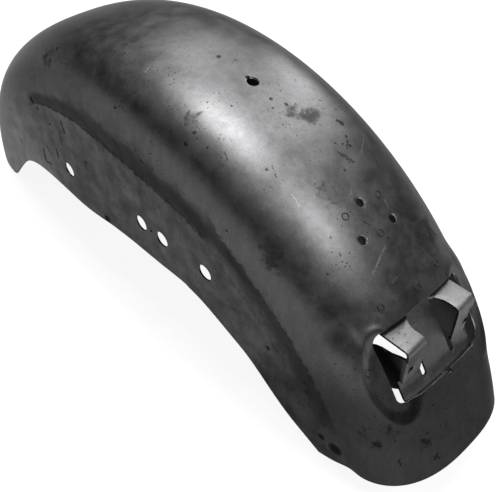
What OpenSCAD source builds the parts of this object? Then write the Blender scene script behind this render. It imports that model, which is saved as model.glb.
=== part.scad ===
// Motorcycle rear fender: a pressed steel skin with a welded lamp bracket
// X points to the right side of the motorcycle, Y forward and Z up.
// Angles run round the wheel axle from straight up, and are positive towards the rear.
// The fender stands on the tips of its skirts, as it does on a bench.

/* [Skin] */
// Radius of the crown line round the wheel axle
crown_r = 350; // [300:1:400]
// Thickness of the pressed sheet
sheet_t = 1.6; // [1:0.1:3]
// Angle from straight up to the front end
front_angle = 72; // [60:1:84]
// Angle from straight up to the rear end
rear_angle = 68.8; // [64:0.2:80]
// Width of the skin at its widest
body_w = 164.6; // [140:0.2:220]
// Width lost at the front end
front_taper = 30; // [0:1:40]
// Width lost at the rear end
rear_taper = 19; // [0:1:40]
// Height of the rounded crown above the line where the side stands upright
crown_h = 55.2; // [40:0.2:75]
// Fullness of the crown, where 2 is an ellipse and more is boxier
crown_full = 2.55; // [2:0.05:3.4]
// Extra fullness of the crown beside the lamp opening
lamp_full = 0.3; // [0:0.1:1]

/* [Side recess] */
// Depth of the crown's shoulder line below the crown line
shoulder_drop = 46.5; // [38:0.5:56]
// Height of the slope between the shoulder line and the flat skirt
slope_h = 40; // [15:1:50]
// How far the flat skirt is set in from the shoulder
recess_d = 6; // [0:0.5:10]
// Angle ahead of straight up where the recess begins
recess_front = 28; // [15:1:45]
// Angle behind straight up where the recess has run out
recess_rear = 64; // [50:1:64]
// Height of the small jog in the shoulder line
jog_h = 5; // [0:0.5:8]
// Angle of the jog behind straight up
jog_angle = 25; // [15:1:35]

/* [Skirt edge] */
// Height of the straight skirt edge above the wheel axle
edge_mid = 170.4; // [150:0.1:190]
// Distance of the sloping front edge from the wheel axle
edge_front = 251.7; // [240:0.1:265]
// Slope of the front edge
edge_front_slope = 42.6; // [36:0.1:48]
// Distance of the sloping rear edge from the wheel axle
edge_rear = 193.7; // [180:0.1:215]
// Slope of the rear edge
edge_rear_slope = 27.6; // [20:0.1:40]

/* [Holes] */
// Diameter of the bolt holes in the skirts
skirt_hole_d = 15; // [6:0.5:20]
// Diameter of the small locating hole in each skirt
pilot_d = 3; // [2:0.5:6]
// Height of the skirt bolt holes above the wheel axle
bolt_line = 205; // [198:0.5:225]
// Distance of the front bolt holes forward of the axle
front_bolt_y = 87.3; // [70:0.1:100]
// Distance of the rear bolt holes forward of the axle
rear_bolt_y = -107.9; // [-120:0.1:-95]
// Distance from the rear bolt holes to the middle pair
rear_pitch = 55.3; // [40:0.1:65]
// Distance between the middle pair of bolt holes
pair_pitch = 29.3; // [22:0.1:36]
// Diameter of the seat keyhole
seat_hole_d = 10; // [8:0.5:18]
// Diameter of the keyhole's small lobe
seat_lobe_d = 4; // [3:0.5:8]
// Distance of the keyhole's lobe ahead of its middle
seat_lobe_offset = 6; // [5:0.5:9]
// Angle of the seat keyhole behind straight up
seat_angle = 14.4; // [8:0.2:25]
// Diameter of the three crown holes
crown_hole_d = 7; // [5:0.5:12]
// Angle of the single front crown hole behind straight up
crown_hole_angle = 34.2; // [30:0.2:38]
// Distance from the front crown hole back to the pair
crown_hole_pitch = 22.6; // [16:0.2:30]
// Spacing of the pair of crown holes
crown_pair_w = 33; // [24:0.5:45]

/* [Lamp opening] */
// Width of the opening for the tail lamp
lamp_w = 97; // [86:1:104]
// Length of the opening along the crown
lamp_l = 56; // [46:1:60]
// Angle of the middle of the opening behind straight up
lamp_angle = 52.4; // [50:0.2:54]
// Corner radius of the opening
lamp_corner = 7; // [3:0.5:12]
// Depth of the pressed pocket at each side of the opening
pocket_d = 4; // [0:0.5:8]
// Height of the ridge that bounds each pocket
ridge_h = 3; // [0:0.1:4]

/* [Lamp bracket] */
// Thickness of the bracket sheet
bracket_t = 2; // [1.2:0.1:3]
// Half width of the bracket over its ears
ear_x = 38.4; // [34:0.2:42]
// Half width of the space between the ears
ear_in = 19; // [14:0.5:24]
// Height of the ears' front faces
ear_h = 35; // [32:0.5:38]
// Diameter of the lamp screw holes
ear_hole_d = 6; // [4:0.5:10]
// Distance of the screw holes below the top tabs
ear_hole_drop = 22.2; // [17:0.1:25]
// Inside radius of the bracket's bends
bend_r = 2.5; // [1:0.5:4]
// Length of the top tabs
tab_len = 26; // [20:0.5:30]
// Height of the opening's top edge above the tabs
tab_below = 5.5; // [4:0.5:10]
// Distance of the ears' front faces behind the opening's top edge
face_behind = 21; // [17:0.5:26]
// Distance of the screw holes from the middle
ear_hole_x = 32.3; // [26:0.1:33]
// Length of the ears' side walls
wall_len = 38; // [30:0.5:42]
// Drop of the side walls' top edge below the tabs
wall_drop = 9; // [7:0.5:12]
// Radius of the hollow corner at the tabs' roots
root_w = 16; // [8:0.5:16]
// How far the bracket lies below the skin inside the opening
web_dip = 6; // [3:0.5:8]
// Half width of the bracket's web
bracket_x = 39.8; // [39:0.2:46]
// Angle of the bracket's middle behind straight up
bracket_angle = 52; // [51:0.2:53]
// Length of the bracket along the crown
bracket_l = 113; // [100:1:118]

/* [Reinforcement plate] */
// Thickness of the plate under the crown holes
plate_t = 2; // [1:0.1:4]
// Width of the plate between its corner circles
plate_w = 38; // [30:0.5:50]
// Radius of the plate's corners
plate_corner = 9; // [6:0.5:12]

/* [Hidden] */

half_w = body_w / 2;
// length of the cutters that go through the crown
cutter_l = 40;
// clearance between the skin and what is welded under it
weld_gap = 0.03;
// angle over which the bracket steps down from the skin
joggle = 2;
// rows of the skin that the welded sheets follow, and their corners
web_rows = 6;
web_corner = 4;
// column of the skin where the plate under the crown holes begins
plate_col = 27;
// depth of the ears' side walls, and the narrow end of the tabs' hollow side
wall_h = 51;
root_min = 12;
// the slots that part the bracket's ears from its tongue
slot_in = 14;
slot_out = bracket_x + 5;
slot_angle = 51.4;
slot_l = 39;
slot_corner = 3;
// the slits beside the tongue, which run on behind the ears' faces
slit_w = 4.6;
slit_corner = 2;
slit_l = 24;
slit_angle = 54.2;
// the small square notch in the opening's lower edge
notch_w = 4;
notch_l = 3;
// height of the slope at the recess's front end, and its largest share of the side
slope_front_h = 12;
slope_share = 0.6;
// angles over which the slope grows, and over which the recess begins and runs out
slope_grow = 32;
recess_grow = 20;
recess_fade = 18;
// how much lower the shoulder line lies at the rear end
shoulder_fall = 10;
// angles over which the shoulder's jog rises and drops
jog_rise = 11;
jog_fall = 2;
// the pressed shapes beside the lamp opening: reach along the arc in degrees, and the
// distance outwards from the opening's side and the reach across the crown
lamp_full_arc = 9;
pocket_arc = 7;
pocket_out = 4.5;
pocket_reach = 10;
ridge_arc = 7.5;
ridge_out = 15;
ridge_reach = 15;
// hollow in the top edge of the ears' side walls, and the walls' lower corners
scoop_d = 4.6;
scoop_y = 18;
wall_end_drop = 15;
wall_low_y = 19;
wall_corner = 16;
// step used to find the skin's facing
step_x = 0.2;
// rows of the section from the middle of the crown to the skirt edge
crown_rows = 13;
slope_rows = 5;
skirt_rows = 4;
side_rows = crown_rows + slope_rows + skirt_rows;
// columns along the arc, closer together beside the lamp opening
lamp_zone_front = 40;
lamp_zone_rear = 62;
coarse_cols = 31;
fine_cols = 14;
tail_cols = 3;
cols = coarse_cols + fine_cols + tail_cols;

// straight stretches of the skirt edge are blended with these sharpnesses
front_blend = 15;
rear_blend = 37;

function clamp01(t) = min(1, max(0, t));
function smooth(t) = let(c = clamp01(t)) c * c * (3 - 2 * c);
function mix(a, b, t) = a + (b - a) * t;
// a smooth hump of height 1 round m, flat for half its reach w
function hump(a, m, w) = smooth(2 * (1 - abs(a - m) / w));

function half_width(a) =
    half_w - (a < 0 ? front_taper * pow(a / front_angle, 2)
                    : rear_taper * pow(a / rear_angle, 2)) / 2;
function fullness(a) = crown_full + lamp_full * hump(a, lamp_angle + 1, lamp_full_arc);

// radius of the skirt's lower edge at an angle
function line_r(a, d, slope) = d / max(0.05, cos(a - slope));
function soft_min(p, q, n) = pow(pow(p, -n) + pow(q, -n), -1 / n);
function edge_r(a) =
    let(mid = line_r(a, edge_mid, 0),
        front = line_r(a, edge_front, -edge_front_slope),
        rear = line_r(a, edge_rear, edge_rear_slope))
    soft_min(soft_min(mid, front, front_blend), rear, rear_blend);

// radius of the shoulder line, with its small jog
function shoulder_r(a) =
    crown_r - shoulder_drop - shoulder_fall * pow(a / rear_angle, 2)
    + jog_h * smooth((a - jog_angle) / jog_rise + 1) * (1 - smooth((a - jog_angle) / jog_fall));
function slope_len(a) =
    min(mix(slope_front_h, slope_h, smooth((a + recess_front) / slope_grow)),
        slope_share * (shoulder_r(a) - edge_r(a)));
// how far the skirt is set in at an angle
function set_in(a) =
    recess_d * slope_len(a) / slope_h * smooth((a + recess_front) / recess_grow)
    * (1 - smooth((a - recess_rear) / recess_fade + 1));

// half section: the crown is a superellipse from its middle to the shoulder
function crown_phi(a) =
    acos(pow(clamp01((shoulder_r(a) - crown_r + crown_h) / crown_h), fullness(a) / 2));
function crown_point(a, phi) =
    [half_width(a) * pow(sin(phi), 2 / fullness(a)),
     crown_r - crown_h + crown_h * pow(cos(phi), 2 / fullness(a))];
// the side of the opening: a pocket pressed in, with a raised ridge round its outer side
function pocket(a, x) =
    pocket_d * hump(a, lamp_angle, pocket_arc) * hump(x, lamp_w / 2 + pocket_out, pocket_reach)
    - ridge_h * hump(a, lamp_angle - 1, ridge_arc) * hump(x, lamp_w / 2 + ridge_out, ridge_reach);
function pressed_point(a, phi) =
    let(p = crown_point(a, phi)) [p[0], p[1] - pocket(a, p[0])];

// point k of the half section, from 0 in the middle to side_rows at the edge
function side_point(a, k) =
    k <= crown_rows
    ? pressed_point(a, crown_phi(a) * pow(k / crown_rows, 1.08))
    : let(top = crown_point(a, crown_phi(a)),
          low_r = top[1] - slope_len(a))
      k <= crown_rows + slope_rows
      ? let(t = (k - crown_rows) / slope_rows)
        [top[0] - set_in(a) * t, mix(top[1], low_r, t)]
      : let(t = (k - crown_rows - slope_rows) / skirt_rows)
        [top[0] - set_in(a), mix(low_r, edge_r(a), t)];

function col_angle(i) =
    i <= coarse_cols ? mix(-front_angle, lamp_zone_front, i / coarse_cols)
    : i <= coarse_cols + fine_cols
    ? mix(lamp_zone_front, lamp_zone_rear, (i - coarse_cols) / fine_cols)
    : mix(lamp_zone_rear, rear_angle, (i - coarse_cols - fine_cols) / tail_cols);

// the axle lies under the bench line on which the skirt tips stand
rest_z = min(edge_r(-front_angle) * cos(front_angle), edge_r(rear_angle) * cos(rear_angle));
mid_y = crown_r * (sin(front_angle) - sin(rear_angle)) / 2;

// a point of the outer face, with j from -side_rows on the left to side_rows on the right
function skin_point(a, j) =
    let(p = side_point(a, abs(j)))
    [sign(j) * p[0], -p[1] * sin(a), p[1] * cos(a)];
function unit(v) = v / norm(v);
function skin_normal(a, j) =
    let(j0 = max(-side_rows, j - step_x), j1 = min(side_rows, j + step_x),
        a0 = max(-front_angle, a - step_x), a1 = min(rear_angle, a + step_x))
    unit(cross(skin_point(a1, j) - skin_point(a0, j), skin_point(a, j1) - skin_point(a, j0)));

// faces of a sheet of two like grids of points, the outer grid first
function sheet_faces(n_cols, n_rows) =
    let(n = n_cols * n_rows,
        at = function(i, j) i * n_rows + j,
        quad = function(a, b, c, d) [[a, c, b], [a, d, c]])
    [for (i = [0:n_cols - 2], j = [0:n_rows - 2])
        each concat(
            quad(at(i, j), at(i + 1, j), at(i + 1, j + 1), at(i, j + 1)),
            quad(n + at(i, j), n + at(i, j + 1), n + at(i + 1, j + 1), n + at(i + 1, j))),
     for (i = [0:n_cols - 2], j = [0, n_rows - 1])
        each j == 0
        ? quad(at(i, j), n + at(i, j), n + at(i + 1, j), at(i + 1, j))
        : quad(at(i, j), at(i + 1, j), n + at(i + 1, j), n + at(i, j)),
     for (j = [0:n_rows - 2], i = [0, n_cols - 1])
        each i == 0
        ? quad(at(i, j), at(i, j + 1), n + at(i, j + 1), n + at(i, j))
        : quad(at(i, j), n + at(i, j), n + at(i, j + 1), at(i, j + 1))];

module fender_skin() {
    rows = 2 * side_rows + 1;
    outer = [for (i = [0:cols], j = [-side_rows:side_rows]) skin_point(col_angle(i), j)];
    inner = [for (i = [0:cols], j = [-side_rows:side_rows])
        skin_point(col_angle(i), j) - sheet_t * skin_normal(col_angle(i), j)];
    polyhedron(concat(outer, inner), sheet_faces(cols + 1, rows));
}

// angles of the opening's top and bottom edges
lamp_top = lamp_angle - lamp_l / 2 / crown_r * 180 / PI;
lamp_low = lamp_angle + lamp_l / 2 / crown_r * 180 / PI;
// the bracket's tabs lie level and its faces stand upright behind the opening
tab_z = crown_r * cos(lamp_top) - tab_below;
face_y = -crown_r * sin(lamp_top) - face_behind;

// puts a child at an angle and a radius, with its Z axis pointing outwards
module at_angle(a, r) {
    rotate([a, 0, 0]) translate([0, 0, r]) children();
}
module from_axle() {
    translate([0, -mid_y, -rest_z]) children();
}

module rounded_plate(w, l, r, h) {
    linear_extrude(h, center = true) {
        square([w - 2 * r, l], center = true);
        square([w, l - 2 * r], center = true);
        for (x = [-1, 1], y = [-1, 1])
            translate([x * (w / 2 - r), y * (l / 2 - r)]) circle(r, $fn = 32);
    }
}

module crown_holes(d) {
    pair_angle = crown_hole_angle + crown_hole_pitch / crown_r * 180 / PI;
    at_angle(crown_hole_angle, crown_r) cylinder(d = d, h = cutter_l, center = true, $fn = 32);
    for (s = [-1, 1])
        at_angle(pair_angle, crown_r) translate([s * crown_pair_w / 2, 0, 0])
            cylinder(d = d, h = cutter_l, center = true, $fn = 32);
}

// a sheet that follows the skin's inner face between two columns and up to a row,
// and is sunk by dip between two angles
module under_skin_sheet(i0, i1, j1, t, dip = 0, dip_front = 0, dip_rear = 0) {
    function sunk(a) =
        dip * smooth((a - dip_front) / joggle) * (1 - smooth((a - dip_rear) / joggle));
    function place(a, j, d) =
        skin_point(a, j) - d * skin_normal(a, j) - sunk(a) * [0, -sin(a), cos(a)];
    grid = [for (i = [i0:i1], j = [-j1:j1]) [col_angle(i), j]];
    outer = [for (g = grid) place(g[0], g[1], sheet_t + weld_gap)];
    inner = [for (g = grid) place(g[0], g[1], sheet_t + weld_gap + t)];
    polyhedron(concat(outer, inner), sheet_faces(i1 - i0 + 1, 2 * j1 + 1));
}

// a hole through both skirts, at a distance forward of the axle
module skirt_hole(y, d) {
    translate([0, y, bolt_line]) rotate([0, 90, 0])
        cylinder(d = d, h = 2 * body_w, center = true, $fn = 40);
}

module fender_shell() {
    color([0.36, 0.36, 0.37]) from_axle() difference() {
        fender_skin();
        at_angle(lamp_angle, crown_r) rounded_plate(lamp_w, lamp_l, lamp_corner, cutter_l);
        at_angle(lamp_angle, crown_r) translate([0, -lamp_l / 2, 0])
            cube([notch_w, 2 * notch_l, cutter_l], center = true);
        at_angle(seat_angle, crown_r) {
            cylinder(d = seat_hole_d, h = cutter_l, center = true, $fn = 48);
            translate([0, seat_lobe_offset, 0])
                cylinder(d = seat_lobe_d, h = cutter_l, center = true, $fn = 32);
        }
        crown_holes(crown_hole_d);
        skirt_hole(front_bolt_y, skirt_hole_d);
        skirt_hole(rear_bolt_y + pair_pitch + rear_pitch, skirt_hole_d);
        skirt_hole(rear_bolt_y + pair_pitch / 2 + rear_pitch, pilot_d);
        skirt_hole(rear_bolt_y + rear_pitch, skirt_hole_d);
        skirt_hole(rear_bolt_y, skirt_hole_d);
    }
}

// an angle section in the XY plane: legs along X and Y, outer corner at the origin
module bent_strip(leg_x, leg_y, r, t) {
    translate([r + t, 0]) square([leg_x - r - t, t]);
    translate([0, r + t]) square([t, leg_y - r - t]);
    translate([r + t, r + t]) intersection() {
        difference() {
            circle(r + t, $fn = 32);
            circle(r, $fn = 32);
        }
        translate([-r - t, -r - t]) square(r + t);
    }
}

// one ear: a level top tab with a hollow inner side, bent down into an upright face
// with the lamp screw hole; the face is bent round into a side wall
module ear() {
    w = ear_x - ear_in;
    root_y = face_y + tab_len;
    difference() {
        union() {
            translate([ear_in, face_y, tab_z]) rotate([90, 0, 90]) linear_extrude(w)
                mirror([0, 1]) bent_strip(tab_len, wall_drop + 1, bend_r, bracket_t);
            translate([ear_in - root_w, root_y - root_w, tab_z - bracket_t])
                cube([root_w + 1, root_w, bracket_t]);
            intersection() {
                translate([ear_x, face_y, tab_z - wall_h]) linear_extrude(wall_h)
                    mirror([1, 0]) bent_strip(w, wall_len, bend_r, bracket_t);
                translate([0, face_y, tab_z]) rotate([90, 0, 90]) linear_extrude(2 * ear_x)
                    wall_outline();
                translate([ear_x, face_y - 1, tab_z]) rotate([-90, 0, 0])
                    linear_extrude(wall_len + 2) face_outline();
            }
        }
        translate([ear_in - root_w, root_y - root_w, tab_z])
            cylinder(r = root_w, h = 4 * bracket_t, center = true, $fn = 64);
        translate([0, root_y - root_w, tab_z - 2 * bracket_t])
            cube([root_min, root_w + 1, 4 * bracket_t]);
        translate([ear_hole_x, face_y, tab_z - ear_hole_drop]) rotate([90, 0, 0])
            cylinder(d = ear_hole_d, h = 8 * bracket_t, center = true, $fn = 32);
    }
}

// side view of an ear below its tab: forward of the face, and height above the tab
module wall_outline() {
    flat_y = scoop_y / 6;
    polygon([
        [-1, -wall_drop],
        for (t = [0:0.25:1]) [mix(flat_y, scoop_y, t), -wall_drop - scoop_d * smooth(t)],
        for (t = [0.25:0.25:1])
            [mix(scoop_y, wall_len, t), -wall_drop - mix(scoop_d, wall_end_drop, t * t)],
        [wall_len, -wall_h + wall_corner],
        [wall_low_y, -wall_h],
        [wall_low_y - wall_corner / 2, -wall_h + bracket_t],
        [-1, -ear_h - bend_r - bracket_t]
    ]);
}

// front view of an ear: inwards from its outer side, and depth below the tab
module face_outline() {
    w = ear_x - ear_in;
    bend = bend_r + bracket_t;
    mirror([1, 0])
        polygon([[-1, 0], [w, 0], [w, ear_h], [bend, ear_h + bend], [bend, wall_h], [-1, wall_h]]);
}

module lamp_bracket() {
    color([0.66, 0.66, 0.67]) from_axle() {
        difference() {
            intersection() {
                under_skin_sheet(coarse_cols, coarse_cols + fine_cols, web_rows, bracket_t,
                    web_dip, lamp_top - 1.4 * joggle, lamp_low);
                at_angle(bracket_angle, crown_r)
                    rounded_plate(2 * bracket_x, bracket_l, web_corner, 1.5 * cutter_l);
            }
            for (s = [-1, 1])
                at_angle(slot_angle, crown_r) translate([s * (slot_in + slot_out) / 2, 0, 0])
                    rounded_plate(slot_out - slot_in, slot_l, slot_corner, cutter_l);
            for (s = [-1, 1])
                at_angle(slit_angle, crown_r) translate([s * (slot_in + slit_w / 2), 0, 0])
                    rounded_plate(slit_w, slit_l, slit_corner, cutter_l);
        }
        ear();
        mirror([1, 0, 0]) ear();
    }
}

// the rounded triangle of the plate under the three crown holes
module plate_outline() {
    hull() {
        for (s = [-1, 1]) {
            translate([s * plate_w / 2, 0]) circle(plate_corner, $fn = 24);
            translate([s * crown_pair_w / 2, -crown_hole_pitch])
                circle(plate_corner, $fn = 24);
        }
    }
}

module reinforcement_plate() {
    color([0.4, 0.4, 0.41]) from_axle() difference() {
        intersection() {
            under_skin_sheet(plate_col, coarse_cols + 1, web_rows, plate_t);
            at_angle(crown_hole_angle, crown_r - cutter_l / 2) linear_extrude(cutter_l) plate_outline();
        }
        crown_holes(crown_hole_d);
    }
}

fender_shell();
lamp_bracket();
reinforcement_plate();
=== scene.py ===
"""Motorcycle rear fender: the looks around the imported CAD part.

The skin is a fine surface with the same formulas as the CAD skin. Lengths in the formulas are
millimetres round the wheel axle, and angles are degrees from straight up, positive to the rear.
"""

import math

import bmesh
import bpy
import numpy as np
from mathutils import Matrix, Vector


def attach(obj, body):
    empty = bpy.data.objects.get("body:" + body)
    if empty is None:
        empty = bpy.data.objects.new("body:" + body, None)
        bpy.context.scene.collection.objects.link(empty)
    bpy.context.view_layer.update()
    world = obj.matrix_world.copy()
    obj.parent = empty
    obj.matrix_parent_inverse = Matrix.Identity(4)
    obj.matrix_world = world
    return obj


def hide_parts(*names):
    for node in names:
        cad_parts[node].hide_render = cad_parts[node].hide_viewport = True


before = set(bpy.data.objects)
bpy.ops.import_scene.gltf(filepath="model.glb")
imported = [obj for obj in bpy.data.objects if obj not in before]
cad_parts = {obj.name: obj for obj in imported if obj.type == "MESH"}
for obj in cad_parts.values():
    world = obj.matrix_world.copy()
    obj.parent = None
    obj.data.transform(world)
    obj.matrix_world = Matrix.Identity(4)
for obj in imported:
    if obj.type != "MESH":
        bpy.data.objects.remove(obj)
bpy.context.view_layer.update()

# Sizes shared with the CAD
CROWN_R, SHEET_T = 350.0, 1.6
FRONT, REAR = 72.0, 68.8
BODY_W, FRONT_TAPER, REAR_TAPER = 164.6, 30.0, 19.0
CROWN_H, CROWN_FULL, LAMP_FULL = 55.2, 2.55, 0.3
SHOULDER_DROP, SHOULDER_FALL = 46.5, 10.0
SLOPE_H, SLOPE_FRONT_H, SLOPE_SHARE, SLOPE_GROW = 40.0, 12.0, 0.6, 32.0
RECESS_D, RECESS_FRONT, RECESS_REAR = 6.0, 28.0, 64.0
RECESS_GROW, RECESS_FADE = 20.0, 18.0
JOG_H, JOG_ANGLE, JOG_RISE, JOG_FALL = 5.0, 25.0, 11.0, 2.0
EDGE_MID = 170.4
EDGE_FRONT, EDGE_FRONT_SLOPE = 251.7, 42.6
EDGE_REAR, EDGE_REAR_SLOPE = 193.7, 27.6
FRONT_BLEND, REAR_BLEND = 15.0, 37.0
LAMP_W, LAMP_L, LAMP_ANGLE, LAMP_CORNER = 97.0, 56.0, 52.4, 7.0
FULL_ANGLE, FULL_REACH = LAMP_ANGLE + 1, 9.0
NOTCH_W, NOTCH_L = 4.0, 3.0
SEAT_ANGLE, SEAT_R, LOBE_R, LOBE_OFFSET = 14.4, 5.0, 2.0, 6.0
CROWN_HOLE_R, CROWN_HOLE_ANGLE, CROWN_HOLE_PITCH, PAIR_W = 3.5, 34.2, 22.6, 33.0
BOLT_R, BOLT_LINE, BOLT_Y = 7.5, 205.0, (87.3, -23.3, -52.6, -107.9)
PILOT_R, PILOT_Y = 1.5, -37.95
MM = 0.001

# How far the slope's top and low corners are rounded, as shares of it, before and behind the jog
CORNER_TOP, CORNER_LOW, CORNER_CHANGE = (0.45, 0.12), (0.1, 0.5), 4.0
# Power that spaces the section's places down the crown
CROWN_SPACING = 1.08
# Cosine that keeps a straight line's radius finite far from its foot
LEAST_COSINE = 0.05

# Small forms that only the looks need
TIP_R, TIP_LIFT = 15.4, 9.0
POCKET_X, POCKET_REACH_X = 46.0, 18.5
POCKET_ANGLE, POCKET_REACH_ANGLE = 53.4, 6.4
POCKET_D, POCKET_FLOOR, POCKET_WALL = 2.2, 0.7, 0.27
RIDGE_H, RIDGE_SPREAD = 0.6, 0.06
BULGE_H, BULGE_X, BULGE_REACH_X = 1.0, LAMP_W / 2 + 17, 13.0
BULGE_ANGLE, BULGE_REACH_ANGLE = LAMP_ANGLE - 1, 7.5
RIPPLE_H, RIPPLE_R, RIPPLE_SPREAD = 1.8, 289.0, 11.0
RIPPLE_ANGLE, RIPPLE_RISE = 58.0, 8.0
LOOKS_INSET = 0.006
RING_R, RING_TUBE, RING_PROUD = 2.5, 0.5, 0.32
RINGS = [(34.6, -17.6), (34.6, 17.6), (38.4, -0.5), (45.4, -31.5), (45.4, 31.5), (46.2, 3.9),
         (51.3, -58.8)]

# Grids: stretches of angle and of half section as start, end and steps, and points round holes
TIP_ZONE, TIP_STEPS = 2.0, 9
ANGLE_STRETCHES = [(TIP_ZONE - FRONT, 42, 166), (42, 62, 60), (62, REAR, 13)]
SECTION_STRETCHES = [(0, 0.42, 18), (0.42, 0.76, 26), (0.76, 1, 12), (1, 2, 18), (2, 3, 9)]
ROUND_POINTS, PILOT_POINTS = 48, 24
RING_TURNS, RING_AROUND, RING_SAMPLES = 28, 8, 400
# Steps of the differences that give the normal, and how far from the front edge it is taken
ANGLE_STEP, SECTION_STEP, TIP_CLEAR = 0.2, 0.02, 2.2
# Half lengths of the cutters through the crown and across the part
CROWN_CUT, SKIRT_CUT = 20.0, 120.0
# Bevels in metres, and the angles over which an edge stays sharp
SKIN_BEVEL, BRACKET_BEVEL, BEVEL_STEPS = 0.0003, 0.0004, 2
SKIN_SHARP, BRACKET_SHARP, RING_SHARP = 35, 40, 60
MERGE_DISTANCE, FLAT_ANGLE = 0.00001, 0.5
# Where the crown's cut edges lie, and how far faces may turn before they change to a material with painted
# shade or a painted highlight
CUT_ZONE_X, CUT_ZONE_H, CUT_ZONE_ANGLE = LAMP_W / 2 + 1, 25.0, 65.0
CUT_FACING, TAB_FACING = 0.6, 0.5


def rad(a):
    return np.radians(a)


def smooth(t):
    """The smooth step from 0 to 1: 3 t squared less 2 t cubed."""
    t = np.clip(t, 0, 1)
    return t * t * (3 - 2 * t)


def mix(a, b, t):
    return a + (b - a) * t


def hump(a, m, w):
    """A smooth hump of height 1 round m, flat for half its reach w."""
    return smooth(2 * (1 - np.abs(a - m) / w))


def half_width(a):
    """Half the skin's width: widest at the top, less by a square law towards both ends."""
    taper = np.where(a < 0, FRONT_TAPER * (a / FRONT) ** 2, REAR_TAPER * (a / REAR) ** 2)
    return BODY_W / 2 - taper / 2


def fullness(a):
    """The superellipse's power, larger round the lamp opening."""
    return CROWN_FULL + LAMP_FULL * hump(a, FULL_ANGLE, FULL_REACH)


def line_r(a, d, slope):
    """Radius at angle a of a straight line at distance d from the axle."""
    return d / np.maximum(LEAST_COSINE, np.cos(rad(a - slope)))


def soft_min(p, q, n):
    return (p ** -n + q ** -n) ** (-1 / n)


def plain_edge_r(a):
    """Radius of the skirt's lower edge: three straight lines blended into each other."""
    mid = line_r(a, EDGE_MID, 0)
    front = line_r(a, EDGE_FRONT, -EDGE_FRONT_SLOPE)
    rear = line_r(a, EDGE_REAR, EDGE_REAR_SLOPE)
    return soft_min(soft_min(mid, front, FRONT_BLEND), rear, REAR_BLEND)


def edge_r(a):
    """The lower edge, with the corner of its front tip rounded by an arc of radius TIP_R."""
    tip_r = float(plain_edge_r(np.array(-FRONT)))
    run = rad(np.asarray(a) + FRONT) * tip_r
    arc = tip_r + TIP_LIFT - np.sqrt(np.maximum(TIP_R ** 2 - (TIP_R - run) ** 2, 0))
    return np.where(run < TIP_R / 2, np.maximum(arc, plain_edge_r(a)), plain_edge_r(a))


def shoulder_r(a):
    """Radius of the shoulder line, with its small jog."""
    rise = smooth((a - JOG_ANGLE) / JOG_RISE + 1) * (1 - smooth((a - JOG_ANGLE) / JOG_FALL))
    return CROWN_R - SHOULDER_DROP - SHOULDER_FALL * (a / REAR) ** 2 + JOG_H * rise


def slope_len(a):
    """Height of the slope under the shoulder: it grows to the rear, up to a share of the side's."""
    grown = mix(SLOPE_FRONT_H, SLOPE_H, smooth((a + RECESS_FRONT) / SLOPE_GROW))
    return np.minimum(grown, SLOPE_SHARE * (shoulder_r(a) - plain_edge_r(a)))


def set_in(a):
    """How far the flat skirt is set in at an angle."""
    return (RECESS_D * slope_len(a) / SLOPE_H * smooth((a + RECESS_FRONT) / RECESS_GROW)
            * (1 - smooth((a - RECESS_REAR) / RECESS_FADE + 1)))


def ramp(t, soft_top, soft_low):
    """A straight ramp from 0 to 1 whose two corners are rounded over the given shares."""
    k = 1 / (1 - soft_top / 2 - soft_low / 2)
    y = np.where(t < soft_top, t * t / (2 * soft_top), t - soft_top / 2)
    y = np.where(t > 1 - soft_low, 1 / k - (1 - t) ** 2 / (2 * soft_low), y)
    return y * k


def crown_phi(a):
    """The superellipse's angle at which the crown meets the shoulder line."""
    c = np.clip((shoulder_r(a) - CROWN_R + CROWN_H) / CROWN_H, 0, 1)
    return np.arccos(c ** (fullness(a) / 2))


def crown_point(a, phi):
    """The crown's half section: a superellipse, phi 0 in the middle and 90 degrees at the side."""
    n = 2 / fullness(a)
    return (half_width(a) * np.sin(phi) ** n,
            CROWN_R - CROWN_H + CROWN_H * np.clip(np.cos(phi), 0, 1) ** n)


def pressed(a, x):
    """How far the skin is pressed in beside the opening.

    rho is 1 on an ellipse round each end of the opening. The floor of the pocket lies inside it,
    a low ridge runs along it, and the metal bulges outwards beyond it.
    """
    across, along = (x - POCKET_X) / POCKET_REACH_X, (a - POCKET_ANGLE) / POCKET_REACH_ANGLE
    rho = np.sqrt(across ** 2 + along ** 2)
    pocket = POCKET_D * (1 - smooth((rho - POCKET_FLOOR) / POCKET_WALL))
    ridge = RIDGE_H * np.exp(-((rho - 1.0) / RIDGE_SPREAD) ** 2)
    bulge = BULGE_H * hump(a, BULGE_ANGLE, BULGE_REACH_ANGLE) * hump(x, BULGE_X, BULGE_REACH_X)
    return pocket - ridge - bulge


def ripple(a, r):
    """The faint hollow that runs on from the recess across the side at the rear end."""
    deep = RIPPLE_H * smooth((a - RIPPLE_ANGLE) / RIPPLE_RISE)
    return deep * np.exp(-((r - RIPPLE_R) / RIPPLE_SPREAD) ** 2)


def side_point(a, s):
    """Half section at an angle: s is 0 to 1 down the crown, to 2 down the slope, to 3 down the skirt."""
    top_x, top_r = crown_point(a, crown_phi(a))
    low_r = top_r - slope_len(a)
    late = smooth((a - JOG_ANGLE + CORNER_CHANGE / 2) / CORNER_CHANGE)
    u, t, v = np.clip(s, 0, 1), np.clip(s - 1, 0, 1), np.clip(s - 2, 0, 1)
    fall = ramp(t, mix(*CORNER_TOP, late), mix(*CORNER_LOW, late))
    cx, cr = crown_point(a, crown_phi(a) * u ** CROWN_SPACING)
    cr = cr - pressed(a, cx)
    r = np.where(s <= 1, cr, np.where(s <= 2, mix(top_r, low_r, t), mix(low_r, edge_r(a), v)))
    x = np.where(s <= 1, cx, top_x - set_in(a) * fall)
    return x - ripple(a, r), r


def to_axle(a, x, r):
    """Angle, distance from the middle and radius to a place round the axle."""
    return np.stack([x, -r * np.sin(rad(a)), r * np.cos(rad(a))], -1)


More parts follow.
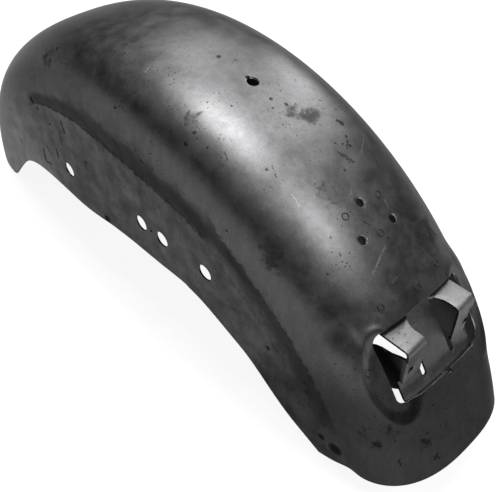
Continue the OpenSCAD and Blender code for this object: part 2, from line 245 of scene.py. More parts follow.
def skin_point(a, s):
    """Point of the outer face, with s below 0 on the left side."""
    x, r = side_point(a, np.abs(s))
    return to_axle(a, np.sign(s) * x, r)


def skin_normal(a, s):
    """Outward normal, from differences along the arc and down the section.

    Within TIP_CLEAR degrees of the front edge it is taken further in, clear of the rounded tip.
    """
    a = np.maximum(a, TIP_CLEAR - FRONT)
    a0, a1 = np.maximum(a - ANGLE_STEP, -FRONT), np.minimum(a + ANGLE_STEP, REAR)
    s0, s1 = np.maximum(s - SECTION_STEP, -3), np.minimum(s + SECTION_STEP, 3)
    n = np.cross(skin_point(a1, s) - skin_point(a0, s), skin_point(a, s1) - skin_point(a, s0))
    return n / np.linalg.norm(n, axis=-1, keepdims=True)


REST_Z = float(min(plain_edge_r(np.array(-FRONT)) * math.cos(rad(FRONT)),
                   plain_edge_r(np.array(REAR)) * math.cos(rad(REAR))))
MID_Y = CROWN_R * (math.sin(rad(FRONT)) - math.sin(rad(REAR))) / 2


def to_row(p):
    """Millimetres round the axle to metres in the part's frame."""
    return (p - np.array([0, MID_Y, REST_Z])) * MM


def from_row(p):
    """Metres in the part's frame to millimetres round the axle."""
    return p / MM + np.array([0, MID_Y, REST_Z])


# Meshes
def add_object(name, data):
    obj = bpy.data.objects.new(name, data)
    bpy.context.scene.collection.objects.link(obj)
    return obj


def mesh_object(name, verts, faces):
    mesh = bpy.data.meshes.new(name)
    mesh.from_pydata(np.asarray(verts).tolist(), [], [list(map(int, f)) for f in faces])
    mesh.update()
    return add_object(name, mesh)


def sheet_mesh(name, outer, inner):
    """A closed sheet from two like grids of points, joined along their borders."""
    nc, nr = outer.shape[:2]
    n = nc * nr
    idx = np.arange(n).reshape(nc, nr)
    a, b, c, d = idx[:-1, :-1], idx[1:, :-1], idx[1:, 1:], idx[:-1, 1:]
    out_f = np.stack([a, b, c, d], -1).reshape(-1, 4)
    in_f = np.stack([a, d, c, b], -1).reshape(-1, 4) + n
    loop = np.concatenate([idx[:-1, 0], idx[-1, :-1], idx[:0:-1, -1], idx[0, :0:-1]])
    nxt = np.roll(loop, -1)
    rim = np.stack([nxt, loop, loop + n, nxt + n], -1)
    verts = np.concatenate([outer.reshape(-1, 3), inner.reshape(-1, 3)])
    return mesh_object(name, verts, np.concatenate([out_f, in_f, rim]))


def column(name, low, high):
    """A closed cutter between two like outlines, given so that its faces point outwards."""
    k = len(low)
    i = np.arange(k)
    j = (i + 1) % k
    faces = [i[::-1], i + k] + list(np.stack([i, j, j + k, i + k], -1))
    return mesh_object(name, to_row(np.concatenate([low, high])), faces)


def crown_cutter(outline, angle, at=(0, 0)):
    """An outline (x, and y along the arc) run through the crown at an angle."""
    outline = np.asarray(outline, float) + np.asarray(at, float)
    t = rad(angle)
    along, out = np.array([0, math.cos(t), math.sin(t)]), np.array([0, -math.sin(t), math.cos(t)])
    base = outline[:, :1] * np.array([1, 0, 0]) + outline[:, 1:] * along + CROWN_R * out
    return column("cutter", base - CROWN_CUT * out, base + CROWN_CUT * out)


def skirt_cutter(y, r, n):
    """A round cutter along X through both skirts, with n points round it."""
    c = circle(r, n)
    ends = [np.stack([np.full(n, x), y + c[:, 0], BOLT_LINE + c[:, 1]], -1) for x in (-SKIRT_CUT, SKIRT_CUT)]
    return column("cutter", *ends)


def full_turn(n):
    return np.linspace(0, 2 * math.pi, n, endpoint=False)


def circle(r, n=ROUND_POINTS):
    t = full_turn(n)
    return np.stack([r * np.cos(t), r * np.sin(t)], -1)


def rounded(w, l, r):
    """Outline of a rectangle with round corners."""
    t = full_turn(ROUND_POINTS) + math.pi / ROUND_POINTS
    c, s = np.cos(t), np.sin(t)
    return np.stack([np.sign(c) * (w / 2 - r) + r * c, np.sign(s) * (l / 2 - r) + r * s], -1)


def box_outline(w, l):
    return [(-w / 2, -l / 2), (w / 2, -l / 2), (w / 2, l / 2), (-w / 2, l / 2)]


def apply_modifiers(obj):
    deps = bpy.context.evaluated_depsgraph_get()
    new = bpy.data.meshes.new_from_object(obj.evaluated_get(deps))
    obj.modifiers.clear()
    obj.data = new


def cut(obj, cutters):
    for c in cutters:
        m = obj.modifiers.new("cut", "BOOLEAN")
        m.operation, m.solver, m.object = "DIFFERENCE", "MANIFOLD", c
    apply_modifiers(obj)
    for c in cutters:
        bpy.data.objects.remove(c)


def soften(obj, width, angle):
    """Small bevels, their width in metres, on the edges that turn more than an angle."""
    m = obj.modifiers.new("edge", "BEVEL")
    m.width, m.segments = width, BEVEL_STEPS
    m.limit_method, m.angle_limit = "ANGLE", math.radians(angle)
    apply_modifiers(obj)


def shade(obj, angle):
    """Smooth shading, sharp where an edge turns more than an angle."""
    obj.data.shade_smooth()
    obj.data.set_sharp_from_angle(angle=math.radians(angle))


def add_lie(obj):
    """Stores on each point its angle, its share of the slope (0 top, 1 foot) and its radius."""
    flat = np.empty(3 * len(obj.data.vertices))
    obj.data.vertices.foreach_get("co", flat)
    p = from_row(flat.reshape(-1, 3))
    a = np.degrees(np.arctan2(-p[:, 1], p[:, 2]))
    r = np.hypot(p[:, 1], p[:, 2])
    share = (shoulder_r(a) - r) / slope_len(a)
    data = obj.data.attributes.new("lie", "FLOAT_VECTOR", "POINT").data
    data.foreach_set("vector", np.stack([a, share, r], -1).ravel())


# The skin
def stretched_places(stretches):
    """Evenly spaced places over stretches of start, end and steps, with the last end."""
    parts = [np.linspace(lo, hi, n, endpoint=False) for lo, hi, n in stretches]
    return np.append(np.concatenate(parts), stretches[-1][1])


def skin_grid():
    """Angles, crowded at the front tip and fine at the opening, by places across the section."""
    tip = TIP_ZONE * np.linspace(0, 1, TIP_STEPS, endpoint=False) ** 2
    a = np.concatenate([tip - FRONT, stretched_places(ANGLE_STRETCHES)])
    half = stretched_places(SECTION_STRETCHES)
    return np.meshgrid(a, np.concatenate([-half[:0:-1], half]), indexing="ij")


def skin_cutters():
    """The lamp opening with its notch, the seat keyhole, the crown holes and the skirt holes."""
    pair_angle = CROWN_HOLE_ANGLE + math.degrees(CROWN_HOLE_PITCH / CROWN_R)
    cutters = [crown_cutter(rounded(LAMP_W, LAMP_L, LAMP_CORNER), LAMP_ANGLE),
               crown_cutter(box_outline(NOTCH_W, 2 * NOTCH_L), LAMP_ANGLE, (0, -LAMP_L / 2)),
               crown_cutter(circle(SEAT_R), SEAT_ANGLE),
               crown_cutter(circle(LOBE_R), SEAT_ANGLE, (0, LOBE_OFFSET)),
               crown_cutter(circle(CROWN_HOLE_R), CROWN_HOLE_ANGLE)]
    cutters += [crown_cutter(circle(CROWN_HOLE_R), pair_angle, (x, 0)) for x in (-PAIR_W / 2, PAIR_W / 2)]
    cutters += [skirt_cutter(y, BOLT_R, ROUND_POINTS) for y in BOLT_Y]
    return cutters + [skirt_cutter(PILOT_Y, PILOT_R, PILOT_POINTS)]


def build_skin():
    """The pressed skin: the section's formulas over a fine grid, the inner face along the normal."""
    a, s = skin_grid()
    out = skin_normal(a, s)
    outer = skin_point(a, s) - LOOKS_INSET * out
    skin = sheet_mesh("skin", to_row(outer), to_row(outer - SHEET_T * out))
    cut(skin, skin_cutters())
    soften(skin, SKIN_BEVEL, SKIN_SHARP)
    shade(skin, SKIN_SHARP)
    add_lie(skin)
    return skin


# The ring marks of the spot welds
def section_place(a, x):
    """The place s of the skin's point at an angle and a distance x from the middle."""
    s = np.linspace(0, 1, RING_SAMPLES)
    found = np.interp(abs(x), side_point(np.full(RING_SAMPLES, a), s)[0], s)
    return np.array(math.copysign(float(found), x))


def ring_points(a, x):
    """Points of one ring: a tube bent round the mark, most of it sunk in the skin."""
    t, u = full_turn(RING_TURNS)[:, None], full_turn(RING_AROUND)[None, :]
    s = section_place(a, x)
    place, out = skin_point(np.array(a), s), skin_normal(np.array(a), s)
    across = np.cross([0, -math.cos(rad(a)), -math.sin(rad(a))], out)
    across = across / np.linalg.norm(across)
    along = np.cross(out, across)
    reach = (RING_R + RING_TUBE * np.cos(u))[..., None]
    flat = reach * (np.cos(t)[..., None] * across + np.sin(t)[..., None] * along)
    high = (RING_TUBE * np.sin(u) + RING_PROUD - RING_TUBE)[..., None] * out
    return (place + flat + high).reshape(-1, 3)


def build_rings():
    """One closed tube a mark, all in one piece."""
    i, j = np.meshgrid(np.arange(RING_TURNS), np.arange(RING_AROUND), indexing="ij")
    i2, j2 = (i + 1) % RING_TURNS, (j + 1) % RING_AROUND
    corners = [(i, j), (i2, j), (i2, j2), (i, j2)]
    quads = np.stack([p * RING_AROUND + q for p, q in corners], -1).reshape(-1, 4)
    faces = np.concatenate([quads + k * RING_TURNS * RING_AROUND for k in range(len(RINGS))])
    verts = np.concatenate([ring_points(a, x) for a, x in RINGS])
    rings = mesh_object("weld_rings", to_row(verts), faces)
    shade(rings, RING_SHARP)
    return rings


# Materials by face, and the bracket
def face_places(obj):
    """Centres round the axle, radii, normals and radial directions of an object's faces."""
    n = len(obj.data.polygons)
    centre, normal = np.empty(3 * n), np.empty(3 * n)
    obj.data.polygons.foreach_get("center", centre)
    obj.data.polygons.foreach_get("normal", normal)
    c = from_row(centre.reshape(-1, 3))
    r = np.hypot(c[:, 1], c[:, 2])
    radial = np.stack([0 * r, c[:, 1] / r, c[:, 2] / r], -1)
    return c, r, normal.reshape(-1, 3), radial


def paint(obj, materials, choice):
    """Gives each face one of several materials."""
    obj.data.materials.clear()
    for material in materials:
        obj.data.materials.append(material)
    obj.data.polygons.foreach_set("material_index", choice.astype(np.int32))


def skin_choice(skin):
    """0 on the outer face, 1 on the inner face, which gets painted shade, 2 on the cut edges in the crown,
    which get a painted highlight.
    """
    c, r, normal, radial = face_places(skin)
    out = np.maximum(0, (r - CROWN_R + CROWN_H) / CROWN_H)[:, None] * radial
    out[:, 0] = c[:, 0] / (BODY_W / 2)
    facing = (normal * out).sum(-1) / np.linalg.norm(out, axis=-1)
    angle = np.degrees(np.arctan2(-c[:, 1], c[:, 2]))
    crown = (np.abs(c[:, 0]) < CUT_ZONE_X) & (r > CROWN_R - CUT_ZONE_H) & (np.abs(angle) < CUT_ZONE_ANGLE)
    return np.where(crown & (np.abs(facing) < CUT_FACING), 2, np.where(facing < 0, 1, 0))


def bracket_choice(bracket):
    """0 on the tabs and other faces that point outwards, 1 on the rest, which gets painted shade."""
    normal, radial = face_places(bracket)[2:]
    return np.where((normal * radial).sum(-1) > TAB_FACING, 0, 1)


def refined_copy(cad_name, name, width):
    """A copy of a CAD node with its loose triangles merged and its sharp edges bevelled."""
    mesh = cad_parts[cad_name].data.copy()
    bm = bmesh.new()
    bm.from_mesh(mesh)
    bmesh.ops.remove_doubles(bm, verts=bm.verts, dist=MERGE_DISTANCE)
    bmesh.ops.dissolve_limit(bm, angle_limit=math.radians(FLAT_ANGLE), verts=bm.verts, edges=bm.edges)
    bm.to_mesh(mesh)
    bm.free()
    obj = add_object(name, mesh)
    soften(obj, width, BRACKET_SHARP)
    shade(obj, BRACKET_SHARP)
    add_lie(obj)
    return obj


# Material nodes
def grey(tone):
    return (tone, tone, tone, 1.0)


def node(tree, kind, sources=(), out=0, **props):
    """Adds a node, sets its properties, feeds its inputs in order and returns one output."""
    n = tree.nodes.new(kind)
    for key, value in props.items():
        setattr(n, key, value)
    for i, source in enumerate(sources):
        if isinstance(source, bpy.types.NodeSocket):
            tree.links.new(source, n.inputs[i])
        else:
            n.inputs[i].default_value = source
    return n.outputs[out] if n.outputs else None


def scaled(tree, vector, factor):
    """A vector times a number or a socket."""
    out = node(tree, "ShaderNodeVectorMath", (vector,), operation="SCALE")
    if isinstance(factor, bpy.types.NodeSocket):
        tree.links.new(factor, out.node.inputs["Scale"])
    else:
        out.node.inputs["Scale"].default_value = factor
    return out


def calc(tree, operation, a, b=0.0):
    return node(tree, "ShaderNodeMath", (a, b), operation=operation)


def times(tree, first, *others):
    """The product of several values."""
    for other in others:
        first = calc(tree, "MULTIPLY", first, other)
    return first


def most(tree, values):
    """The largest of several values."""
    out = values[0]
    for value in values[1:]:
        out = calc(tree, "MAXIMUM", out, value)
    return out


def one_less(tree, value):
    """1 less a value."""
    return calc(tree, "SUBTRACT", 1.0, value)


def step(tree, value, lo, hi, to_lo=0.0, to_hi=1.0):
    """A smooth step of a value between two limits."""
    sources = (value, lo, hi, to_lo, to_hi)
    return node(tree, "ShaderNodeMapRange", sources, interpolation_type="SMOOTHSTEP")


def between(tree, value, rise, fall):
    """1 between the limits of a rise and a fall of a value, and 0 outside them."""
    return times(tree, step(tree, value, *rise), step(tree, value, *fall))


def noise(tree, place, pattern):
    """The noise of a pattern, which is a scale, a detail, a roughness and a seed."""
    scale, detail, rough, seed = pattern
    return node(tree, "ShaderNodeTexNoise", (place, seed, scale, detail, rough), noise_dimensions="4D")


def stretched(tree, place, scales):
    return node(tree, "ShaderNodeMapping", (place, (0.0, 0.0, 0.0), (0.0, 0.0, 0.0), scales))


def warped(tree, place, scale, reach):
    """Places shifted by a noise, so that a mark drawn on them gets a ragged outline."""
    shift = node(tree, "ShaderNodeTexNoise", (place, 0.0, scale, WARP_DETAIL, WARP_ROUGH), "Color")
    shift = node(tree, "ShaderNodeVectorMath", (shift, (0.5, 0.5, 0.5)), operation="SUBTRACT")
    return node(tree, "ShaderNodeVectorMath", (place, scaled(tree, shift, reach)), operation="ADD")


def dots(tree, place, scale, few, size):
    """1 in the middle of a dot, in some of the cells of a pattern of cells."""
    cells = node(tree, "ShaderNodeTexVoronoi", (place, 0.0, scale), "Color")
    chosen = step(tree, node(tree, "ShaderNodeSeparateColor", (cells,)), *few)
    return times(tree, chosen, step(tree, cells.node.outputs["Distance"], *size))


def spot(tree, place, centre, size):
    """1 in the middle of a soft spot and 0 outside it."""
    away = node(tree, "ShaderNodeVectorMath", (place, tuple(centre)), "Value", operation="DISTANCE")
    return step(tree, away, SPOT_CORE * size * MM, size * MM, 1.0, 0.0)


def stroke(tree, place, start, end, width):
    """1 along a straight stroke between two points and 0 outside it."""
    start, end = np.asarray(start), np.asarray(end)
    run = end - start
    back = tuple(run / (run @ run))
    rel = node(tree, "ShaderNodeVectorMath", (place, tuple(start)), operation="SUBTRACT")
    along = node(tree, "ShaderNodeVectorMath", (rel, back), "Value", operation="DOT_PRODUCT")
    foot = scaled(tree, tuple(run), node(tree, "ShaderNodeClamp", (along, 0.0, 1.0)))
    away = node(tree, "ShaderNodeVectorMath", (rel, foot), "Value", operation="DISTANCE")
    return step(tree, away, STROKE_CORE * width * MM, width * MM, 1.0, 0.0)


def strokes(tree, place, on_face, marks, widen=1.0):
    """Strokes between pairs of points on a face, each mark ending with its width."""
    return [stroke(tree, place, on_face(a, p), on_face(b, q), widen * w) for a, p, b, q, w in marks]


def on_crown(a, x):
    """The crown's point at an angle and a distance x from the middle, in the part's frame."""
    n = float(fullness(a))
    c = (1 - (abs(x) / float(half_width(a))) ** n) ** (1 / n)
    return to_row(to_axle(a, x, CROWN_R - CROWN_H + CROWN_H * c))


def on_side(a, r):
    """The left side's point at an angle and a radius, in the part's frame."""
    x = float(crown_point(a, crown_phi(a))[0])
    share = float((shoulder_r(a) - r) / slope_len(a))
    return to_row(to_axle(a, float(set_in(a)) * min(1, max(0, share)) - x, r))


# Dark spots on the crown as angle, x and size
CROWN_SPOTS = [(24.9, 34, 4.5), (24.4, 32.5, 3.5), (26.7, 28, 2.5), (27.9, 25, 2.6), (27.3, 20, 2),
               (26.8, 15, 1.8), (22.7, 46, 2), (22.9, 40, 2), (30.1, 6, 2.4), (17.8, -1, 3),
               (19, -6, 2.4), (19.4, 6, 3.4), (20.9, 34, 1.6), (22.1, 30, 1.6), (8.4, -2, 4),
               (10.2, 5, 2), (13.8, -40, 1.8), (16, -29, 1.5), (25.1, -43, 2), (35.6, -36, 1.6),
               (37.8, -37, 1.8), (38.2, -31, 1.5), (39.4, 3, 2), (38.8, -51, 2.2), (-2.5, -41, 2.4),
               (-1.1, -48, 2), (0.1, -47, 1.6), (-6.3, -62, 2.2), (-15.4, -64, 3), (3.1, -78, 2.4),
               (15.8, -61, 3), (18.4, -61.5, 2.4), (16, -69, 3.2), (27.5, -79, 1.8)]
# Larger and fainter smudges as angle, x and size
CROWN_SMUDGES = [(42, 38, 17), (32.9, -69, 11), (34.4, -72, 9), (59.3, -71, 8), (61, -66, 9),
                 (59.9, -60, 7), (63.2, -41, 8), (66.4, -35, 4), (65, -59, 3), (20.5, 4, 9),
                 (31, -17, 12), (-17, -71, 12), (22, 16, 12), (14, -57, 7)]
# Dark strokes and light scratches on the crown, from angle and x to angle and x, and width
CROWN_STROKES = [(27.9, 11.5, 29.7, 14.5, 1.1), (28.2, 13.5, 29.9, 17.5, 1.1),
                 (21.9, 8, 22.4, 14, 0.9), (22.4, 14, 21.9, 20, 0.9), (25.1, -38, 26.5, -41, 0.5),
                 (20.4, -56, 21.3, -58.5, 0.9), (28, 21, 27.2, 26, 1.1), (36, -8, 37.2, -4, 0.6),
                 (57.9, -54, 56.9, -42, 0.6)]
CROWN_SCRATCHES = [(27.9, 42, 29.3, 30, 0.9), (40, -3.5, 41.6, -23.5, 1.0),
                   (35.6, 19.5, 36.6, 18.7, 0.6), (43.6, -8, 43.8, -14, 0.6),
                   (32.3, 1, 32.9, -3.4, 0.6), (29.1, -40, 30.7, -41, 0.5), (3.9, -48, 4.1, -52, 0.8)]
# Dark spots on the left side as angle, radius and size
SIDE_SPOTS = [(-26.9, 293, 5), (-25.9, 285, 3), (-23.1, 269, 2.2), (-48.2, 270, 2.2), (-12.8, 237, 2),
              (9.6, 291, 2.4), (-11.2, 178, 5), (46.2, 248, 3), (65.4, 281, 8), (63.6, 270, 4)]
# Dark strokes on the left side, from angle and radius to angle and radius, and width
SIDE_STROKES = [(-34.7, 245, -37.4, 235, 1.6), (-31.1, 247, -31.3, 237, 1.2),
                (-25.6, 243, -26.8, 235, 1.5), (-17.4, 273, -17.6, 263, 1.4),
                (-37.4, 233, -34.5, 229, 1.0), (-20, 262, -21, 250, 0.8)]
# Full-strength share of a spot and of a stroke, and the factors on the sizes of two kinds
SPOT_CORE, STROKE_CORE = 0.55, 0.3
CROWN_SPOT_SIZE, SIDE_STROKE_WIDTH = 0.66, 1.6
# Scale of the noise that shifts the marks and the smudges, and how far it shifts them in metres
MARK_WARP, SMUDGE_WARP = (520.0, 0.004), (130.0, 0.024)
WARP_DETAIL, WARP_ROUGH = 3.0, 0.6
# How dark the marks are and how light the scratches, and where mottling lets a smudge through
MARK_DARK, SCRATCH_LIGHT = 0.72, 0.9
SMUDGE_DARK = (0.4, 0.56, 0.0, 0.6)

# Patterns of the steel as scale, detail, roughness and seed
CLOUDS, MOTTLE, GRAIN = (14.0, 3.0, 0.5, 1.0), (75.0, 6.0, 0.65, 2.0), (900.0, 2.0, 0.5, 3.0)
STREAKS, BLOTCHES = (190.0, 4.0, 0.6, 4.0), (48.0, 5.0, 0.62, 7.0)
PIT_PATCHES, SPECK_PATCHES = (25.0, 2.0, 0.5, 5.0), (26.0, 4.0, 0.6, 6.0)
RAGGED = (230.0, 4.0, 0.6, 8.0)
# Factors on the places that draw the streaks out upwards
STREAK_STRETCH = (1.0, 1.0, 0.22)
# Smooth steps as two limits and, where they aren't 0 and 1, the values at them
CLOUD_TONE, MOTTLE_TONE = (0.3, 0.7, 0.92, 1.08), (0.25, 0.75, 0.86, 1.14)
GRAIN_TONE, STREAK_TONE = (0.2, 0.8, 0.85, 1.15), (0.3, 0.75, 1.09, 0.91)
PIT_DARK, SPECK_DARK = (0.4, 0.6, 0.0, 0.8), (0.47, 0.6, 0.06, 0.85)
# Pits and specks as cells a metre, the step that picks cells and the step round a dot's middle
PITS = (160.0, (0.86, 0.92), (0.06, 0.16, 1.0, 0.0))
SPECKS = (420.0, (0.7, 0.8), (0.14, 0.34, 1.0, 0.0))

# The side's blotches and the ragged shift of its lines, as steps over their noises
BLOTCH_TONE, RAGGED_SHIFT = (0.3, 0.7, -0.28, 0.28), (0.3, 0.7, -0.07, 0.07)
# The band of painted shade on the slope and the painted shade along the crease, as steps over the slope's
# share and the angle
SIDE_SHARE = (-0.3, 0.3)
EARLY_BAND = ((0.0, 0.45), (0.94, 1.04, 1.0, 0.0))
LATE_BAND = ((-0.03, 0.08), (0.3, 1.05, 1.0, 0.0))
BAND_ENDS, LATE_ANGLE = ((-32.0, -24.0), (50.0, 66.0, 1.0, 0.0)), (23.0, 27.0)
CREASE_WIDTH, CREASE_GAPS = (0.015, 0.08, 1.0, 0.0), (0.35, 0.55)
CREASE_FADE = (4.0, 30.0, 1.0, 0.35)
BAND_DARK, CREASE_DARK = 0.55, 0.6
# Painted shade darkens the sides below the crown and the rear end, and painted light makes the front end
# brighter
SHADE_BY_RADIUS, SHADE_BY_ANGLE, SHADE_LEAST = (318.0, 340.0, 0.5, 1.0), (43.0, 60.0, 1.0, 0.25), 0.25
PAINTED_FRONT_LIGHT = (-57.0, -21.0, 2.3, 1.0)

# Share of a clean metal's reflection that the oxide leaves at a grazing view
EDGE_TINT = 0.45
# Limits of the mottling, how far the roughness goes under and over its value, and its rise on marks
GLOSS_LIMITS, GLOSS_UNDER, GLOSS_OVER, MARK_ROUGH = (0.25, 0.75), 0.05, 0.06, 0.15
# Grain's share of the relief, the relief's strength and its height in metres
GRAIN_RELIEF, RELIEF_STRENGTH, RELIEF_H = 0.3, 0.35, 0.0001


def rolled_tone(tree, place, mottle, grain):
    """Slow clouds, mottling, grain and upright streaks as a factor round 1."""
    clouds = noise(tree, place, CLOUDS)
    streaks = noise(tree, stretched(tree, place, STREAK_STRETCH), STREAKS)
    return times(tree, step(tree, clouds, *CLOUD_TONE), step(tree, mottle, *MOTTLE_TONE),
                 step(tree, grain, *GRAIN_TONE), step(tree, streaks, *STREAK_TONE))


def pitting(tree, place):
    """How dark the pits and the finer specks are, each in patches."""
    pit_patches = step(tree, noise(tree, place, PIT_PATCHES), *PIT_DARK)
    speck_patches = step(tree, noise(tree, place, SPECK_PATCHES), *SPECK_DARK)
    return most(tree, [times(tree, dots(tree, place, *PITS), pit_patches),
                       times(tree, dots(tree, place, *SPECKS), speck_patches)])


def marking(tree, place, mottle):
    """How dark the spots, strokes and smudges are, and the light scratches as a factor."""
    bent, loose = warped(tree, place, *MARK_WARP), warped(tree, place, *SMUDGE_WARP)
    dark = [spot(tree, bent, on_crown(a, x), CROWN_SPOT_SIZE * size) for a, x, size in CROWN_SPOTS]
    dark += [spot(tree, bent, on_side(a, r), size) for a, r, size in SIDE_SPOTS]
    dark += strokes(tree, bent, on_crown, CROWN_STROKES)
    dark += strokes(tree, bent, on_side, SIDE_STROKES, SIDE_STROKE_WIDTH)
    smudges = most(tree, [spot(tree, loose, on_crown(a, x), size) for a, x, size in CROWN_SMUDGES])
    smudges = times(tree, smudges, step(tree, mottle, *SMUDGE_DARK))
    light = times(tree, most(tree, strokes(tree, bent, on_crown, CROWN_SCRATCHES)), SCRATCH_LIGHT)
    dark = most(tree, [times(tree, most(tree, dark), MARK_DARK), smudges])
    return dark, calc(tree, "ADD", 1.0, light)


def slope_shade_band(tree, angle, share):
    """1 on the band of painted shade on the slope, which starts higher behind the jog."""
    early, late = between(tree, share, *EARLY_BAND), between(tree, share, *LATE_BAND)
    change = times(tree, step(tree, angle, *LATE_ANGLE), calc(tree, "SUBTRACT", late, early))
    return calc(tree, "ADD", early, change)


def crease(tree, angle, share, mottle):
    """1 on the rough line of painted shade along the foot of the slope, fainter to the rear."""
    off = calc(tree, "ABSOLUTE", calc(tree, "SUBTRACT", share, 1.0))
    return times(tree, step(tree, off, *CREASE_WIDTH), step(tree, mottle, *CREASE_GAPS),
                 step(tree, angle, *CREASE_FADE))


def side_and_ends(tree, place, mottle):
    """The tone of the sides and ends as a factor, painted shade and light included, and how dark the
    crease's painted shade is.

    The attribute lie gives a point's angle, its share of the slope and its radius.
    """
    lie = node(tree, "ShaderNodeAttribute", (), "Vector", attribute_name="lie")
    angle = node(tree, "ShaderNodeSeparateXYZ", (lie,))
    share, radius = angle.node.outputs[1], angle.node.outputs[2]
    blotch = step(tree, noise(tree, place, BLOTCHES), *BLOTCH_TONE)
    blotch = times(tree, blotch, step(tree, share, *SIDE_SHARE))
    # Painted shade: darker on the sides below the crown and at the rear end.
    low_and_rear_shade = times(tree, step(tree, radius, *SHADE_BY_RADIUS), step(tree, angle, *SHADE_BY_ANGLE))
    share = calc(tree, "ADD", share, step(tree, noise(tree, place, RAGGED), *RAGGED_SHIFT))
    ends = between(tree, angle, *BAND_ENDS)
    # Painted shade: the slope's band is darkened.
    band = times(tree, slope_shade_band(tree, angle, share), ends, BAND_DARK)
    # Painted light: the front end is brighter.
    tone = times(tree, calc(tree, "ADD", 1.0, blotch), calc(tree, "MAXIMUM", low_and_rear_shade, SHADE_LEAST),
                 step(tree, angle, *PAINTED_FRONT_LIGHT), one_less(tree, band))
    return tone, times(tree, crease(tree, angle, share, mottle), ends, CREASE_DARK)


def roughen(tree, shader, rough, dark, mottle, grain):
    """Sets the shader's roughness, which marks raise, and its fine relief."""
    gloss = step(tree, mottle, *GLOSS_LIMITS, rough - GLOSS_UNDER, rough + GLOSS_OVER)
    gloss = calc(tree, "ADD", gloss, times(tree, dark, MARK_ROUGH))
    tree.links.new(gloss, shader.inputs["Roughness"])
    bump = node(tree, "ShaderNodeBump")
    bump.node.inputs["Strength"].default_value = RELIEF_STRENGTH
    bump.node.inputs["Distance"].default_value = RELIEF_H
    relief = calc(tree, "ADD", times(tree, grain, GRAIN_RELIEF), mottle)
    tree.links.new(relief, bump.node.inputs["Height"])
    tree.links.new(bump, shader.inputs["Normal"])


def rolled_steel(name, base, rough, marked):
    """Bare rolled steel: a dark satin metal with clouds of stain, fine grain, pits and specks.

    The metal's colour is its base times several factors. Marked steel also has painted shade on
    the pressed slope, along its foot, on the lower sides and at the rear end, painted light at the
    front end, and the spots, strokes and scratches at their places.
    """
    mat = bpy.data.materials.new(name)
    mat.use_nodes = True
    tree = mat.node_tree
    shader = tree.nodes["Principled BSDF"]
    shader.inputs["Metallic"].default_value = 1.0
    shader.inputs["Specular Tint"].default_value = grey(EDGE_TINT)
    place = node(tree, "ShaderNodeTexCoord", (), "Object")
    mottle, grain = noise(tree, place, MOTTLE), noise(tree, place, GRAIN)
    tone, dark = rolled_tone(tree, place, mottle, grain), pitting(tree, place)
    if marked:
        spotted, scratched = marking(tree, place, mottle)
        side, crease_shade = side_and_ends(tree, place, mottle)
        # The crease's painted shade joins the pits and the marks.
        dark = most(tree, [dark, spotted, crease_shade])
        tone = times(tree, tone, side, scratched)
    tone = times(tree, tone, one_less(tree, dark))
    tree.links.new(scaled(tree, base, tone), shader.inputs["Base Color"])
    roughen(tree, shader, rough, dark, mottle, grain)
    return mat


outside_steel = rolled_steel("raw steel", (0.16, 0.16, 0.163), 0.4, True)
# A darker copy of the steel for the inner faces and the plate, painted shade.
shaded_inside_steel = rolled_steel("inside steel painted shade", (0.03, 0.03, 0.031), 0.5, False)
# A lighter copy of the steel for the crown's cut edges, painted highlight.
highlit_edge_steel = rolled_steel("edge steel painted highlight", (0.45, 0.45, 0.455), 0.35, False)
tab_steel = rolled_steel("bracket steel", (0.18, 0.18, 0.183), 0.5, False)
# A darker copy of the steel for the bracket's turned-away faces and the weld rings, painted shade.
shaded_steel = rolled_steel("shaded steel", (0.045, 0.045, 0.046), 0.5, False)

skin = build_skin()
paint(skin, [outside_steel, shaded_inside_steel, highlit_edge_steel], skin_choice(skin))
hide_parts("fender_shell")
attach(skin, "root")

rings = build_rings()
# The rings take the darker copy of the steel, painted shade.
rings.data.materials.append(shaded_steel)
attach(rings, "root")

bracket = refined_copy("lamp_bracket", "bracket", BRACKET_BEVEL)
paint(bracket, [tab_steel, shaded_steel], bracket_choice(bracket))
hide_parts("lamp_bracket")
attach(bracket, "root")

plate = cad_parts["reinforcement_plate"]
# The plate takes the darker inner copy, painted shade.
for i in range(len(plate.data.materials)):
    plate.data.materials[i] = shaded_inside_steel


# Floor and light, in metres
FLOOR_HALF, FLOOR_GLOW, FLOOR_TONE = 9.0, 0.9, 0.2
LAMP_FAR = 8.0
LIT_POINT = np.array([0.0, 0.0, 0.2])
# The walls' glow: its direction, its steps over height and over that direction, and the least light
GLOW_WAY, GLOW_BY_HEIGHT, GLOW_BY_SIDE = (-0.6, 0.8, 0.0), (0.0, 0.18, 1.7, 0.0), (0.0, 0.9, 0.05, 1.0)
WALL_LIGHT = 0.035
# Camera: the picture's width and focal length in pixels, and its place in millimetres round the axle
SHOT_W, SHOT_FOCAL, SENSOR_W = 500, 666.89, 36
CAMERA_PLACE = (-297.6, -411.4, 589.6)
CAMERA_RIGHT = (0.7347, -0.6783, -0.0142)
CAMERA_UP = (0.4747, 0.499, 0.7251)
CAMERA_BACK = (-0.4847, -0.5394, 0.6885)


def build_floor():
    """A plain floor that looks white to the camera and in reflections, and keeps the shadow."""
    s = FLOOR_HALF
    floor = mesh_object("floor", [(-s, -s, 0), (s, -s, 0), (s, s, 0), (-s, s, 0)], [(0, 1, 2, 3)])
    mat = bpy.data.materials.new("floor")
    mat.use_nodes = True
    tree = mat.node_tree
    tree.nodes.clear()
    path = node(tree, "ShaderNodeLightPath").node
    seen = most(tree, [path.outputs[k] for k in ("Is Camera Ray", "Is Glossy Ray", "Is Transmission Ray")])
    glow = node(tree, "ShaderNodeEmission", (grey(1.0), times(tree, seen, FLOOR_GLOW)))
    coat = node(tree, "ShaderNodeBsdfDiffuse", (grey(FLOOR_TONE),))
    node(tree, "ShaderNodeOutputMaterial", (node(tree, "ShaderNodeAddShader", (coat, glow)),))
    floor.data.materials.append(mat)


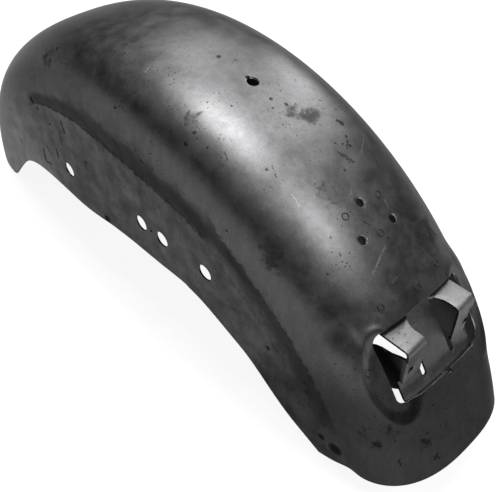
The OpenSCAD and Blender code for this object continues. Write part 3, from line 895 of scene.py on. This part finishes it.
def lamp(name, toward, half_angle, radiance):
    """A round soft lamp seen from the part in a direction, at a half angle in degrees.

    Its power is pi times its radiance times its area.
    """
    toward = np.array(toward) / np.linalg.norm(toward)
    radius = LAMP_FAR * math.tan(math.radians(half_angle))
    data = bpy.data.lights.new(name, "AREA")
    data.shape, data.size = "DISK", 2 * radius
    data.energy = radiance * math.pi * math.pi * radius ** 2
    obj = add_object(name, data)
    obj.location = LIT_POINT + LAMP_FAR * toward
    obj.rotation_euler = Vector(-toward).to_track_quat("-Z", "Y").to_euler()


def build_camera():
    """The photo's viewpoint, with its focal length in pixels."""
    cam = bpy.data.cameras.new("camera")
    cam.sensor_width = SENSOR_W
    cam.lens = SHOT_FOCAL * cam.sensor_width / SHOT_W
    obj = add_object("camera", cam)
    turn = Matrix((CAMERA_RIGHT, CAMERA_UP, CAMERA_BACK)).transposed().to_4x4()
    obj.matrix_world = Matrix.Translation(Vector(to_row(np.array(CAMERA_PLACE)))) @ turn
    bpy.context.scene.camera = obj


def build_world():
    """Dim studio walls, with a pale glow low down at the front left."""
    world = bpy.data.worlds.new("world")
    bpy.context.scene.world = world
    world.use_nodes = True
    tree = world.node_tree
    background = tree.nodes["Background"]
    way = node(tree, "ShaderNodeTexCoord", (), "Generated")
    height = node(tree, "ShaderNodeSeparateXYZ", (way,), 2)
    aside = node(tree, "ShaderNodeVectorMath", (way, GLOW_WAY), "Value", operation="DOT_PRODUCT")
    glow = times(tree, step(tree, height, *GLOW_BY_HEIGHT), step(tree, aside, *GLOW_BY_SIDE))
    tree.links.new(calc(tree, "ADD", glow, WALL_LIGHT), background.inputs["Strength"])
    background.inputs["Color"].default_value = grey(1.0)


build_floor()
lamp("front", (0.467, 0.553, 0.69), 6.5, 9.5)
lamp("top", (0.075, 0.142, 0.987), 11.7, 16)
lamp("right", (0.823, 0.258, 0.506), 7.8, 10)
lamp("high right", (0.659, 0.073, 0.748), 9.1, 6)
lamp("rear", (0.133, -0.546, 0.827), 7.1, 17)
lamp("dome", (-0.114, 0.025, 0.993), 45, 0.3)
build_camera()
build_world()
bpy.context.scene.view_settings.view_transform = "Standard"

bpy.context.view_layer.update()
